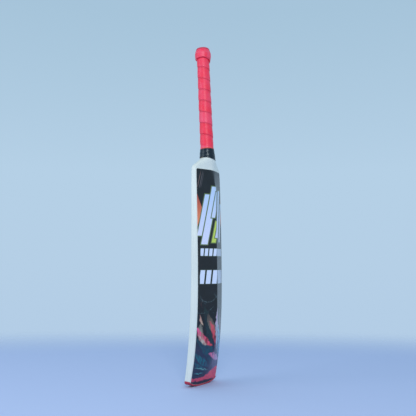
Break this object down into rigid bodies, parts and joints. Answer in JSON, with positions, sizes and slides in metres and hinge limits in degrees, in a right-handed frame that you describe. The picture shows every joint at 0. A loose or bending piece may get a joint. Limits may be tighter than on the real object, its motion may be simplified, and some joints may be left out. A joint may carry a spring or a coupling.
{
  "type": "cricket bat",
  "caption": "Full-size cricket bat with a bowed, spined blade, a labelled back, a spliced laminated cane handle, a red wrapped grip with a knob, and a rubber toe guard.",
  "frame": {"origin": "level of the toe's underside, at the middle of the bat's width and depth", "axes": "+Z from the toe up to the butt, +Y out of the spined back, -Y out of the striking face, +X across the blade"},
  "size_m": [0.107, 0.07, 0.86],
  "materials": {
    "lacquered_willow": "white satin lacquer over willow",
    "label_vinyl": "gloss printed vinyl, near black with coloured sweeps near the toe",
    "guard_rubber": "red moulded rubber",
    "cane": "planed cane, lengthwise fibres",
    "insert_rubber": "dark sheet rubber",
    "twine": "waxed linen thread, close wound and glued",
    "black_tape": "glossy black stretch tape, wrinkled",
    "grip_red": "red padded polyurethane tape, overlapped in a helix",
    "knob_foam": "dense foam rubber",
    "cap_rubber": "red rubber"
  },
  "bodies": {
    "root": {"blade": "lacquered_willow", "back_label": "label_vinyl", "toe_guard": "guard_rubber", "cane_front_left": "cane", "cane_front_middle": "cane", "cane_front_right": "cane", "cane_inner_front_left": "cane", "cane_inner_front_middle": "cane", "cane_inner_front_right": "cane", "cane_inner_back_left": "cane", "cane_inner_back_middle": "cane", "cane_inner_back_right": "cane", "cane_back_left": "cane", "cane_back_middle": "cane", "cane_back_right": "cane", "insert_front": "insert_rubber", "insert_middle": "insert_rubber", "insert_back": "insert_rubber", "twine_binding": "twine", "throat_tape": "black_tape", "grip_wrap": "grip_red", "grip_band": "grip_red", "knob_ring": "knob_foam", "knob_wrap": "grip_red", "butt_cap": "cap_rubber"}
  },
  "joints": []
}
